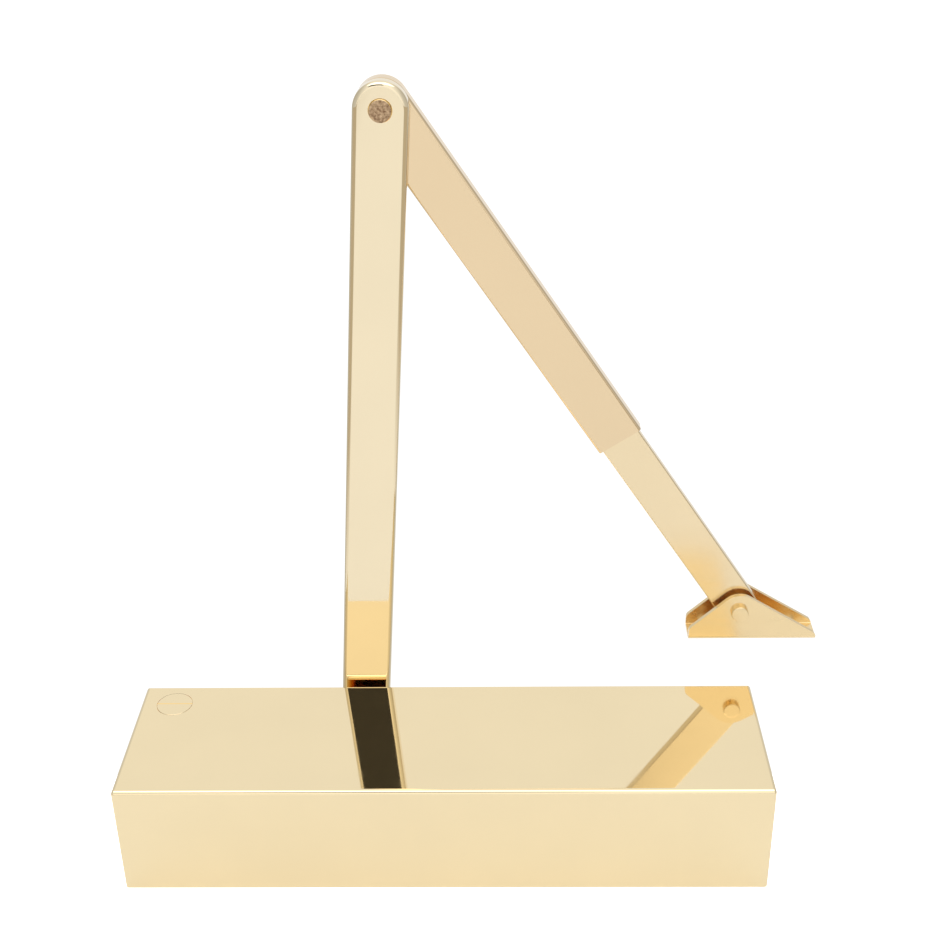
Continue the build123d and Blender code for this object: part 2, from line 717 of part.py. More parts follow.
def ear_outline():
    """A triangle with a round top about the pin and low rounded ends, drawn about the pin."""
    right, left = radians(shoe_right_slope), radians(shoe_left_slope)
    bottom = -shoe_pin_height
    right_touch = (shoe_apex_radius * sin(right), shoe_apex_radius * cos(right))
    left_touch = (-shoe_apex_radius * sin(left), shoe_apex_radius * cos(left))
    right_end = (shoe_right, right_touch[1] - (shoe_right - right_touch[0]) * tan(right))
    left_end = (-shoe_left, left_touch[1] - (shoe_left + left_touch[0]) * tan(left))
    corners = [(-shoe_left, bottom), (shoe_right, bottom), right_end, right_touch, left_touch, left_end]
    outline = make_face(Polyline(*corners, close=True))
    low_ends = [vertex for vertex in outline.vertices()
                if min(hypot(vertex.X - x, vertex.Y - y) for x, y in (right_end, left_end)) < seat_gap]
    return fillet(low_ends, shoe_corner_radius) + Circle(shoe_apex_radius)


def make_shoe_bracket():
    bottom = -shoe_pin_height
    channel = block((-shoe_left, shoe_right), (front_ear, back_ear), (bottom, shoe_apex_radius))
    bends = channel.edges().filter_by(Axis.X).group_by(Axis.Z)[0]
    channel = fillet(bends, shoe_bend_radius)
    channel &= plate(ear_outline(), front_ear, back_ear)
    channel -= block((-shoe_left - 1, shoe_right + 1), (front_ear + shoe_sheet, back_ear - shoe_sheet),
                     (bottom + shoe_sheet, shoe_apex_radius + 1))
    channel -= rod_y(front_ear, back_ear, shoe_pin_radius + seat_gap)
    middle = (front_ear + back_ear) / 2
    for x in (-shoe_hole_left, shoe_hole_right):
        channel -= rod_z(bottom, bottom + shoe_sheet, shoe_hole_radius, x, middle)
    return Pos(shoe_x, 0, shoe_z) * channel


def make_shoe_pin():
    pin = rod_y(front_ear, back_ear, shoe_pin_radius, shoe_x, shoe_z)
    heads = ((front_ear - shoe_head, front_ear, 0), (back_ear, back_ear + shoe_back_head, -1))
    for low, high, outer in heads:
        head = rod_y(low, high, shoe_head_radius, shoe_x, shoe_z)
        pin += fillet(head.edges().group_by(Axis.Y)[outer], shoe_head_edge_radius)
    return pin


def make_shoe_washers():
    inner = shoe_pin_radius + seat_gap
    front, back = front_ear + shoe_sheet + seat_gap, slider_back + running_gap
    thickness = shoe_gap - running_gap - seat_gap
    return Compound([ring_y(low, low + thickness, shoe_washer_radius, inner, shoe_x, shoe_z)
                     for low in (front, back)])


nodes = {
    "housing": make_housing(),
    "end_cap_left": make_end_cap(-1),
    "end_cap_right": make_end_cap(1),
    "end_cap_o_rings": make_end_cap_o_rings(),
    "bearing_bushes": make_bearing_bushes(),
    "bearing_cap_upper": make_bearing_cap_upper(),
    "bearing_cap_lower": make_bearing_cap_lower(),
    "spindle_seal": make_spindle_seal(),
    "closing_valve": make_valve(1, closing_valve_depth),
    "closing_valve_o_ring": make_valve_o_ring(1, closing_valve_depth),
    "latch_valve": make_valve(-1, latch_valve_depth),
    "latch_valve_o_ring": make_valve_o_ring(-1, latch_valve_depth),
    "cover": make_cover(),
    "cover_screw": make_cover_screw(),
    "cover_clips": make_cover_clips(),
    "clip_screws": make_clip_screws(),
    "spindle": make_spindle(),
    "piston": make_piston(),
    "check_valve_ball": make_check_valve_ball(),
    "check_valve_clip": make_check_valve_clip(),
    "closing_spring": make_closing_spring(),
    "spring_seat": make_spring_seat(),
    "power_screw": make_power_screw(),
    "power_screw_clip": make_power_screw_clip(),
    "main_arm": make_main_arm(),
    "arm_washer": make_arm_washer(),
    "arm_screw": make_arm_screw(),
    "elbow_rivet": make_elbow_rivet(),
    "elbow_washers": make_elbow_washers(),
    "forearm_sleeve": make_forearm_sleeve(),
    "clamp_block": make_clamp_block(),
    "clamp_screw": make_clamp_screw(),
    "slider_bar": make_slider_bar(),
    "shoe_bracket": make_shoe_bracket(),
    "shoe_pin": make_shoe_pin(),
    "shoe_washers": make_shoe_washers(),
}

os.makedirs("parts", exist_ok=True)
for name, shape in nodes.items():
    export_step(shape, f"parts/{name}.step")
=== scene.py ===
import json
import math

import bpy
import numpy as np
from mathutils import Matrix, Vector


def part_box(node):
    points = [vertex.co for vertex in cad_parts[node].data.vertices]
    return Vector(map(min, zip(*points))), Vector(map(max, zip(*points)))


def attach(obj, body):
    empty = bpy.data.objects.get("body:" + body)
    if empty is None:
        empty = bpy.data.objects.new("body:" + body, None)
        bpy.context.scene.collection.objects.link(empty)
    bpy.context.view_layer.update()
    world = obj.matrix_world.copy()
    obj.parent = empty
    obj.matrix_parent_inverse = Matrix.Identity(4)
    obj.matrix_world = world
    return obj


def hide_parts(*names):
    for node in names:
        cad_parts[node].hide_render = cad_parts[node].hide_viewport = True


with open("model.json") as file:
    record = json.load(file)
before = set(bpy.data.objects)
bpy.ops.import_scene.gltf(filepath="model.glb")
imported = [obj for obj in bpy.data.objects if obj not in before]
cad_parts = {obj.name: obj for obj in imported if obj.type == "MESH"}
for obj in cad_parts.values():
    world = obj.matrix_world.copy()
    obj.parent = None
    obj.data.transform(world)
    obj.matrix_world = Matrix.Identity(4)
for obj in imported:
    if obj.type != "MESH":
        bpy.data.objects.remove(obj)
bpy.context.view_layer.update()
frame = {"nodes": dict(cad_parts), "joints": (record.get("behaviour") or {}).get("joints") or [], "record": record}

mm = 0.001
cutPast = 5 * mm        # how far a cutter runs past the surface it cuts
joints = {joint["name"]: joint for joint in frame["joints"]}
print("stage: frame loaded,", len(frame["nodes"]), "nodes")


# ---- mesh helpers: every new surface is a stack of rings or a grid, worked out as arrays

def meshObject(name, points, faces, sharpAngle=35.0):
    # points are an (n, 3) array in metres, faces a list of index tuples
    mesh = bpy.data.meshes.new(name)
    mesh.from_pydata(points.tolist(), [], faces)
    mesh.validate()
    mesh.shade_smooth()
    mesh.set_sharp_from_angle(angle=math.radians(sharpAngle))
    piece = bpy.data.objects.new(name, mesh)
    bpy.context.scene.collection.objects.link(piece)
    return piece


def ringStack(name, rings, capStart=True, capEnd=True, sharpAngle=35.0):
    # rings[i, j] is point j of ring i; quads join ring i to ring i + 1, and a cap closes each end
    ringCount, pointCount = rings.shape[:2]
    index = np.arange(ringCount * pointCount).reshape(ringCount, pointCount)
    following = np.roll(index, -1, axis=1)
    quads = np.stack([index[:-1], following[:-1], following[1:], index[1:]], axis=-1).reshape(-1, 4)
    faces = [tuple(quad) for quad in quads.tolist()]
    if capStart:
        faces.append(tuple(index[0][::-1].tolist()))
    if capEnd:
        faces.append(tuple(index[-1].tolist()))
    piece = meshObject(name, rings.reshape(-1, 3), faces, sharpAngle)
    turnOutwards(piece)
    return piece


def turnOutwards(piece):
    # the sum of each triangle's triple product is six times the signed volume; below zero, all faces flip
    mesh = piece.data
    mesh.calc_loop_triangles()
    corners = np.array([triangle.vertices for triangle in mesh.loop_triangles])
    places = np.empty(len(mesh.vertices) * 3)
    mesh.vertices.foreach_get("co", places)
    a, b, c = (places.reshape(-1, 3)[corners[:, k]] for k in range(3))
    if np.einsum("ij,ij->i", a, np.cross(b, c)).sum() < 0:
        mesh.flip_normals()


def cut(piece, *cutters):
    # takes each cutter's volume out of the piece, then removes the cutter
    for cutter in cutters:
        boolean = piece.modifiers.new("cut", "BOOLEAN")
        boolean.object = cutter
        boolean.operation = "DIFFERENCE"
        boolean.solver = "EXACT"
    graph = bpy.context.evaluated_depsgraph_get()
    solid = bpy.data.meshes.new_from_object(piece.evaluated_get(graph))
    piece.modifiers.clear()
    piece.data = solid
    solid.shade_smooth()
    solid.set_sharp_from_angle(angle=math.radians(35))
    for cutter in cutters:
        bpy.data.objects.remove(cutter)
    return piece


def evenNormals(piece):
    # large flat faces keep their own direction, so a mirror finish stays flat right up to a rounded edge
    weighted = piece.modifiers.new("weighted normals", "WEIGHTED_NORMAL")
    weighted.keep_sharp = True
    weighted.weight = 100


def edgeProfile(low, high, lowRadius, highRadius, steps=8, crease=0.0):
    # pairs of inset and height: a quarter circle at the low end, a straight wall and another at the high end;
    # a crease, in radians, leaves out the start of the low arc and widens the rest to the same radius
    turn = np.linspace(crease, math.pi / 2, steps + 1)
    start = np.stack([lowRadius * (1 - np.sin(turn)) / (1 - math.sin(crease)),
                      low + lowRadius * (math.cos(crease) - np.cos(turn)) / math.cos(crease)], axis=-1)
    turn = np.linspace(0, math.pi / 2, steps + 1)
    end = np.stack([highRadius * (1 - np.cos(turn)), high - highRadius * (1 - np.sin(turn))], axis=-1)
    return np.concatenate([start, end])


def barOutline(length, halfWidth, roundEnd, steps=40):
    # a half circle about the origin, straight sides, then a half circle or a square cut at (0, length)
    turn = np.linspace(math.pi, 2 * math.pi, steps + 1)
    start = np.stack([halfWidth * np.cos(turn), halfWidth * np.sin(turn)], axis=-1)
    if roundEnd:
        end = np.stack([-halfWidth * np.cos(turn), length - halfWidth * np.sin(turn)], axis=-1)
    else:
        end = np.array([[halfWidth, length], [-halfWidth, length]])
    return np.concatenate([start, end])


def placed(points, origin, direction):
    # outline x runs across and y runs along direction; the third value is measured square to both, towards +Y
    along = np.array(direction, float)
    across = np.array([along[2], 0.0, -along[0]])
    across /= np.linalg.norm(across)
    depth = np.cross(along, across)
    return np.array(origin) + points[..., :1] * across + points[..., 1:2] * along + points[..., 2:] * depth


def atPlace(outline, place):
    # gives a flat outline a third column, the same place for every point
    return np.column_stack([outline, np.full(len(outline), place)])


def barRings(profile, outlineAt, origin, direction):
    # one outline for each inset of the profile, at the profile's place along Y
    rings = [atPlace(outlineAt(inset), place) for inset, place in profile]
    return placed(np.array(rings), origin, direction)


def lathe(name, profile, centre, axis, steps=96, sharpAngle=35.0):
    # turns pairs of radius and place about an axis, 1 for Y and 2 for Z; the ends are closed with a cap
    turn = np.linspace(0, 2 * math.pi, steps, endpoint=False)
    radius, place = profile[:, 0][:, None], profile[:, 1][:, None]
    rings = np.zeros((len(profile), steps, 3))
    first, second = [k for k in range(3) if k != axis]
    rings[..., first] = centre[first] + radius * np.cos(turn)
    rings[..., second] = centre[second] + radius * np.sin(turn)
    rings[..., axis] = place
    return ringStack(name, rings, sharpAngle=sharpAngle)


def prism(name, outline, low, high, centre, axis):
    # a flat outline carried straight along an axis
    rings = np.zeros((2, len(outline), 3))
    first, second = [k for k in range(3) if k != axis]
    rings[..., first] = centre[first] + outline[:, 0]
    rings[..., second] = centre[second] + outline[:, 1]
    rings[0, :, axis], rings[1, :, axis] = low, high
    return ringStack(name, rings)


def polygon(sides, acrossFlats):
    # corners of a regular shape from its width across flats
    turn = (np.arange(sides) + 0.5) * 2 * math.pi / sides
    return np.column_stack([np.cos(turn), np.sin(turn)]) * acrossFlats / 2 / math.cos(math.pi / sides)


# ---- materials

def newMaterial(name):
    material = bpy.data.materials.new(name)
    material.use_nodes = True
    nodes = material.node_tree.nodes
    shader = next(node for node in nodes if node.type == "BSDF_PRINCIPLED")
    return material, material.node_tree, shader


def link(tree, source, target):
    tree.links.new(source, target)


def noiseOf(tree, scale, detail=4.0, stretch=(1, 1, 1), roughness=0.5):
    # object-space noise, drawn out along the axes with a small stretch
    coordinates = tree.nodes.new("ShaderNodeTexCoord")
    mapping = tree.nodes.new("ShaderNodeMapping")
    mapping.inputs["Scale"].default_value = stretch
    noise = tree.nodes.new("ShaderNodeTexNoise")
    noise.inputs["Scale"].default_value = scale
    noise.inputs["Detail"].default_value = detail
    noise.inputs["Roughness"].default_value = roughness
    link(tree, coordinates.outputs["Object"], mapping.inputs["Vector"])
    link(tree, mapping.outputs["Vector"], noise.inputs["Vector"])
    return noise.outputs["Fac"]


def spread(tree, value, low, high, fromLow=0.3, fromHigh=0.7):
    # carries a value from one range to another, held at the ends
    node = tree.nodes.new("ShaderNodeMapRange")
    node.inputs["From Min"].default_value = fromLow
    node.inputs["From Max"].default_value = fromHigh
    node.inputs["To Min"].default_value = low
    node.inputs["To Max"].default_value = high
    link(tree, value, node.inputs["Value"])
    return node.outputs["Result"]


def mixColours(tree, value, low, high):
    node = tree.nodes.new("ShaderNodeMix")
    node.data_type = "RGBA"
    node.inputs[6].default_value = (*low, 1)
    node.inputs[7].default_value = (*high, 1)
    link(tree, value, node.inputs[0])
    return node.outputs[2]


def addBump(tree, shader, value, height, strength=1.0):
    bump = tree.nodes.new("ShaderNodeBump")
    bump.inputs["Strength"].default_value = strength
    bump.inputs["Distance"].default_value = height
    link(tree, value, bump.inputs["Height"])
    link(tree, bump.outputs["Normal"], shader.inputs["Normal"])


def polishedBrass(name, colour, cloud=0.03, roughness=(0.025, 0.06)):
    # lacquered mirror polish: faint clouding in the colour, buffing marks in the roughness, a shallow ripple
    material, tree, shader = newMaterial(name)
    shader.inputs["Metallic"].default_value = 1.0
    shader.inputs["Coat Weight"].default_value = 0.15
    shader.inputs["Coat Roughness"].default_value = 0.03
    darker = [value * (1 - cloud) for value in colour]
    link(tree, mixColours(tree, spread(tree, noiseOf(tree, 22.0), 0, 1), darker, colour),
         shader.inputs["Base Color"])
    buffing = noiseOf(tree, 60.0, 6.0, (1, 4, 4), 0.6)
    link(tree, spread(tree, buffing, *roughness), shader.inputs["Roughness"])
    addBump(tree, shader, noiseOf(tree, 45.0, 1.0), 0.000012)
    return material


brassColours = {
    "cover": (0.955, 0.80, 0.515),
    "arm": (0.93, 0.80, 0.56),
    "sleeve": (0.86, 0.675, 0.43),
    "slider": (0.91, 0.75, 0.49),
    "shoe": (0.92, 0.73, 0.43),
}
gloss = {"cover": (0.025, 0.06), "arm": (0.025, 0.06), "sleeve": (0.06, 0.10), "slider": (0.16, 0.22),
         "shoe": (0.20, 0.28)}
brass = {name: polishedBrass("polishedBrass." + name, colour, roughness=gloss[name])
         for name, colour in brassColours.items()}


def bareBronze():
    # the cut end of the rivet: mottled brown, rough, with fine pits
    material, tree, shader = newMaterial("bareRivetEnd")
    shader.inputs["Metallic"].default_value = 0.75
    mottle = spread(tree, noiseOf(tree, 1150.0, 6.0), 0, 1)
    link(tree, mixColours(tree, mottle, (0.24, 0.13, 0.065), (0.74, 0.54, 0.34)), shader.inputs["Base Color"])
    link(tree, spread(tree, noiseOf(tree, 1500.0, 4.0), 0.42, 0.7), shader.inputs["Roughness"])
    addBump(tree, shader, noiseOf(tree, 1800.0, 6.0), 0.00012)
    return material


def plainMetal(name, colour, roughness, grain, bump, stretch=(1, 1, 1)):
    # a machined, cast or plated metal: tone, gloss and surface all follow the same grain at different scales
    material, tree, shader = newMaterial(name)
    shader.inputs["Metallic"].default_value = 1.0
    darker = [value * 0.8 for value in colour]
    link(tree, mixColours(tree, spread(tree, noiseOf(tree, grain * 0.4, 5.0, stretch), 0, 1), darker, colour),
         shader.inputs["Base Color"])
    link(tree, spread(tree, noiseOf(tree, grain, 5.0, stretch), *roughness), shader.inputs["Roughness"])
    addBump(tree, shader, noiseOf(tree, grain * 1.5, 5.0, stretch), bump)
    return material


def rubber():
    material, tree, shader = newMaterial("nitrileRubber")
    link(tree, mixColours(tree, noiseOf(tree, 300.0), (0.012, 0.012, 0.012), (0.03, 0.03, 0.03)),
         shader.inputs["Base Color"])
    link(tree, spread(tree, noiseOf(tree, 700.0), 0.45, 0.65), shader.inputs["Roughness"])
    addBump(tree, shader, noiseOf(tree, 1200.0), 0.00003)
    return material


finishes = {
    "polished_brass": brass["cover"],
    "bare_rivet_end": bareBronze(),
    "cast_aluminium": plainMetal("castAluminium", (0.60, 0.61, 0.62), (0.35, 0.55), 420.0, 0.00012),
    "machined_aluminium": plainMetal("machinedAluminium", (0.74, 0.75, 0.76), (0.18, 0.3), 260.0, 0.00002,
                                      (8, 1, 1)),
    "ground_steel": plainMetal("groundSteel", (0.58, 0.58, 0.60), (0.15, 0.28), 300.0, 0.00001, (1, 8, 1)),
    "zinc_plated_steel": plainMetal("zincPlatedSteel", (0.66, 0.68, 0.72), (0.2, 0.34), 240.0, 0.00002),
    "blackened_steel": plainMetal("blackenedSteel", (0.06, 0.06, 0.065), (0.35, 0.5), 300.0, 0.00002),
    "spring_steel": plainMetal("springSteel", (0.22, 0.23, 0.26), (0.22, 0.36), 240.0, 0.00002),
    "cast_iron": plainMetal("castIron", (0.30, 0.30, 0.31), (0.3, 0.45), 380.0, 0.00006),
    "sintered_bronze": plainMetal("sinteredBronze", (0.52, 0.33, 0.16), (0.32, 0.48), 700.0, 0.00004),
    "nitrile_rubber": rubber(),
}


def dress(piece, material):
    piece.data.materials.clear()
    piece.data.materials.append(material)


slotOf = {row["node"]: row["material_slot"] for row in frame["record"]["subparts"]}
for nodeName, node in frame["nodes"].items():
    dress(node, finishes[slotOf[nodeName]])
print("stage: materials made,", len(bpy.data.materials))


def finished(piece, node, body, material=None):
    # the piece stands for its CAD node, rides on its body and takes its finish
    if material is not None:
        dress(piece, material)
    evenNormals(piece)
    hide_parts(node)
    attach(piece, body)
    return piece


def axisPlace(name):
    # where the joint's axis, parallel to Y, crosses the plane Y = 0
    x, y, z = joints[name]["pos_m"]
    return np.array([x, 0.0, z])


# ---- cover

cover = {"wall": 1.5 * mm, "edgeRadius": 1.8 * mm, "cornerRadius": 1.2 * mm, "notchRadius": 9.5 * mm,
         "recess": 0.7 * mm, "recessRadius": 7.1 * mm, "screwHole": 2.05 * mm, "rimEdge": 0.25 * mm,
         "leastCorner": 0.2 * mm}


def rectangleOutline(low, high, radius, steps=8):
    # four quarter circles set in from the corners, joined by straight runs
    turn = np.linspace(0, math.pi / 2, steps + 1)
    corners = [(high[0], high[1], 0), (low[0], high[1], 1), (low[0], low[1], 2), (high[0], low[1], 3)]
    parts = []
    for x, y, quarter in corners:
        angle = turn + quarter * math.pi / 2
        insetX = -radius if quarter in (0, 3) else radius
        insetY = -radius if quarter in (0, 1) else radius
        centre = np.array([x + insetX, y + insetY])
        parts.append(centre + radius * np.column_stack([np.cos(angle), np.sin(angle)]))
    return np.concatenate(parts)


def makeCover():
    # outer top, rounded edge, outer wall, rim, inner wall and inner top as one closed stack of rings
    low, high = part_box("cover")
    profile = edgeProfile(low.z, high.z, cover["rimEdge"], cover["edgeRadius"])[::-1]
    rings = []
    for inset, height in profile:
        outline = rectangleOutline((low.x + inset, low.y + inset), (high.x - inset, high.y - inset),
                                   max(cover["cornerRadius"] - inset, cover["leastCorner"]))
        rings.append(atPlace(outline, height))
    wall = cover["wall"]
    rimEdge = cover["rimEdge"]
    for inset, height in ((wall - rimEdge, low.z), (wall, low.z + rimEdge), (wall, high.z - wall)):
        outline = rectangleOutline((low.x + inset, low.y + inset), (high.x - inset, high.y - inset),
                                   max(cover["cornerRadius"] - inset, cover["leastCorner"]))
        rings.append(atPlace(outline, height))
    shell = ringStack("boxCover", np.array(rings))
    spindle = axisPlace("arm_swing")
    notch = barOutline(spindle[2] + cutPast, cover["notchRadius"], False)
    notchPoints = [atPlace(notch, place) for place in (0.0, high.y + cutPast)]
    notchCutter = ringStack("notchCutter", placed(np.array(notchPoints), spindle, (0.0, 0.0, -1.0)))
    screw = joints["cover_screw_turn"]["pos_m"]
    circle = polygon(96, 2 * cover["recessRadius"])
    recessCutter = prism("recessCutter", circle, high.z - cover["recess"], high.z + cutPast, screw, 2)
    holeCutter = prism("holeCutter", polygon(48, 2 * cover["screwHole"]), high.z - cutPast, high.z, screw, 2)
    return finished(cut(shell, notchCutter, recessCutter, holeCutter), "cover", "cover", brass["cover"])


makeCover()

coverScrew = {"edge": 0.2 * mm, "slotWidth": 0.9 * mm, "slotDepth": 0.2 * mm, "shankRadius": 2.0 * mm,
              "headDepth": 0.8 * mm}


def makeCoverScrew():
    # a flat round head with a coin slot, and its plain shank
    low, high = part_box("cover_screw")
    radius = (high.x - low.x) / 2
    centre = ((low.x + high.x) / 2, (low.y + high.y) / 2, 0)
    head = edgeProfile(high.z - coverScrew["headDepth"], high.z, 0.02 * mm, coverScrew["edge"])
    head = np.column_stack([radius - head[:, 0], head[:, 1]])
    shank = np.array([[coverScrew["shankRadius"] * 0.8, low.z], [coverScrew["shankRadius"], low.z + 0.4 * mm],
                      [coverScrew["shankRadius"], high.z - coverScrew["headDepth"]]])
    screw = lathe("coverScrewHead", np.concatenate([shank, head]), centre, 2)
    bar = np.array([[-1.2, -0.5], [1.2, -0.5], [1.2, 0.5], [-1.2, 0.5]]) * (radius, coverScrew["slotWidth"])
    slotCutter = prism("slotCutter", bar, high.z - coverScrew["slotDepth"], high.z + 1 * mm, centre, 2)
    return finished(cut(screw, slotCutter), "cover_screw", "cover_screw", brass["cover"])


makeCoverScrew()
print("stage: cover and its screw")


# ---- main arm

mainArm = {"width": 19.5 * mm, "thickness": 6.0 * mm, "tilt": 2.0, "frontRadius": 1.8 * mm, "crease": 24.0,
           "backRadius": 0.5 * mm,
           "square": 11.02 * mm, "rivetHole": 3.95 * mm, "rivetRim": 4.2 * mm, "washerSeat": 8.2 * mm,
           "elbowSeat": 7.2 * mm, "elbowSeatDepth": 0.4 * mm}
spindlePlace, elbowPlace = axisPlace("arm_swing"), axisPlace("elbow_fold")
elbowFront = joints["elbow_fold"]["pos_m"][1]


def unitBetween(start, end):
    run = np.array(end) - np.array(start)
    return run / np.linalg.norm(run), np.linalg.norm(run)


def makeMainArm():
    # a bar round at both ends, leaning back, its front edge a quarter circle all the way round
    low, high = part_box("main_arm")
    tilt = math.radians(mainArm["tilt"])
    flatRun = unitBetween(spindlePlace, elbowPlace)[1]
    start = spindlePlace + np.array([0, elbowFront - flatRun * math.tan(tilt), 0])
    end = elbowPlace + np.array([0, elbowFront, 0])
    direction, length = unitBetween(start, end)
    profile = edgeProfile(0.0, mainArm["thickness"], mainArm["frontRadius"], mainArm["backRadius"],
                          crease=math.radians(mainArm["crease"]))
    rings = barRings(profile, lambda inset: barOutline(length, mainArm["width"] / 2 - inset, True),
                     start, direction)
    arm = ringStack("mainArmBar", rings)
    square = polygon(4, mainArm["square"])
    squarePoints = [atPlace(square, place) for place in (low.y - 1 * mm, high.y + 1 * mm)]
    upright = unitBetween(spindlePlace, elbowPlace)[0]
    squareCutter = ringStack("squareCutter", placed(np.array(squarePoints), spindlePlace, upright))
    hole, rim = mainArm["rivetHole"], mainArm["rivetRim"]
    holeSides = np.array([[rim, low.y], [rim, elbowFront + 0.05 * mm], [hole, elbowFront + 0.3 * mm],
                          [hole, high.y + 1 * mm]])
    holeCutter = lathe("rivetHoleCutter", holeSides, elbowPlace, 1)
    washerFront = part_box("arm_washer")[0].y
    elbowBack = elbowFront + mainArm["thickness"] / math.cos(tilt)
    seats = [prism("seatCutter", polygon(96, 2 * mainArm[radius]), place, high.y + 1 * mm, centre, 1)
             for radius, place, centre in (("washerSeat", washerFront, spindlePlace),
                                           ("elbowSeat", elbowBack - mainArm["elbowSeatDepth"], elbowPlace))]
    return finished(cut(arm, squareCutter, holeCutter, *seats), "main_arm", "main_arm", brass["arm"])


makeMainArm()
print("stage: main arm")


# ---- forearm: sleeve and slider bar

sleeve = {"width": 18.7 * mm, "sheet": 1.2 * mm, "edgeRadius": 1.1 * mm, "length": 155.5 * mm,
          "lipSlot": 8.0 * mm, "rivetOpening": 7.2 * mm}
slider = {"width": 16.1 * mm, "edgeRadius": 0.5 * mm, "innerEnd": 98.0 * mm}
shoePlace = axisPlace("shoe_pivot")
forearmDirection, forearmReach = unitBetween(elbowPlace, shoePlace)


def forearmPrism(name, outline, low, high):
    points = [atPlace(outline, place) for place in (low, high)]
    return ringStack(name, placed(np.array(points), elbowPlace, forearmDirection))


def makeSleeve():
    # a flat-fronted channel, closed and round at the elbow, with lips folded in over its open back
    low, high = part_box("forearm_sleeve")
    profile = edgeProfile(low.y, high.y, sleeve["edgeRadius"], sleeve["edgeRadius"])
    rings = barRings(profile, lambda inset: barOutline(sleeve["length"], sleeve["width"] / 2 - inset, False),
                     elbowPlace, forearmDirection)
    channel = ringStack("sleeveChannel", rings)
    inside = barOutline(sleeve["length"] + cutPast, sleeve["width"] / 2 - sleeve["sheet"], False)
    hollow = forearmPrism("hollowCutter", inside, low.y + sleeve["sheet"], high.y - sleeve["sheet"])
    slot = barOutline(sleeve["length"] + cutPast, sleeve["lipSlot"] / 2, False)
    slotCutter = forearmPrism("slotCutter", slot, high.y - 3 * mm, high.y + 3 * mm)
    circle = polygon(64, 2 * sleeve["rivetOpening"])
    opening = forearmPrism("openingCutter", circle, high.y - 3 * mm, high.y + 3 * mm)
    channel = cut(channel, hollow, slotCutter, opening)
    return finished(channel, "forearm_sleeve", "forearm_sleeve", brass["sleeve"])


def makeSlider():
    # a flat bar, square inside the sleeve and round about the shoe pin
    low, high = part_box("slider_bar")
    profile = edgeProfile(low.y, high.y, slider["edgeRadius"], slider["edgeRadius"], 5)
    length = forearmReach - slider["innerEnd"]
    rings = barRings(profile, lambda inset: barOutline(length, slider["width"] / 2 - inset, False),
                     shoePlace, -forearmDirection)
    return finished(ringStack("sliderFlatBar", rings), "slider_bar", "slider_bar", brass["slider"])


makeSleeve()
makeSlider()
print("stage: forearm")


# ---- shoe bracket and pin

shoe = {"sheet": 1.8 * mm, "left": 20.0 * mm, "right": 31.8 * mm, "apexRadius": 7.8 * mm, "leftSlope": 43.0,
        "rightSlope": 32.0, "cornerRadius": 3.0 * mm, "bendRadius": 1.1 * mm, "holeRadius": 2.2 * mm,
        "holeLeft": 12.5 * mm, "holeRight": 23.5 * mm, "edge": 0.25 * mm}


def earEdge():
    # the ear's top edge, left to right: corner arc, slope, arc about the pin, slope, corner arc
    left, right = math.radians(shoe["leftSlope"]), math.radians(shoe["rightSlope"])
    apex, corner = shoe["apexRadius"], shoe["cornerRadius"]
    turn = np.linspace(math.pi / 2 + left, math.pi / 2 - right, 25)
    top = np.column_stack([apex * np.cos(turn), apex * np.sin(turn)])
    leftX, rightX = corner - shoe["left"], shoe["right"] - corner
    leftZ = top[0, 1] - (top[0, 0] - leftX) * math.tan(left) - corner / math.cos(left)
    rightZ = top[-1, 1] - (rightX - top[-1, 0]) * math.tan(right) - corner / math.cos(right)
    turn = np.linspace(math.pi, math.pi / 2 + left, 9)
    leftArc = np.column_stack([leftX + corner * np.cos(turn), leftZ + corner * np.sin(turn)])
    turn = np.linspace(math.pi / 2 - right, 0, 9)
    rightArc = np.column_stack([rightX + corner * np.cos(turn), rightZ + corner * np.sin(turn)])
    return np.concatenate([leftArc, top, rightArc])


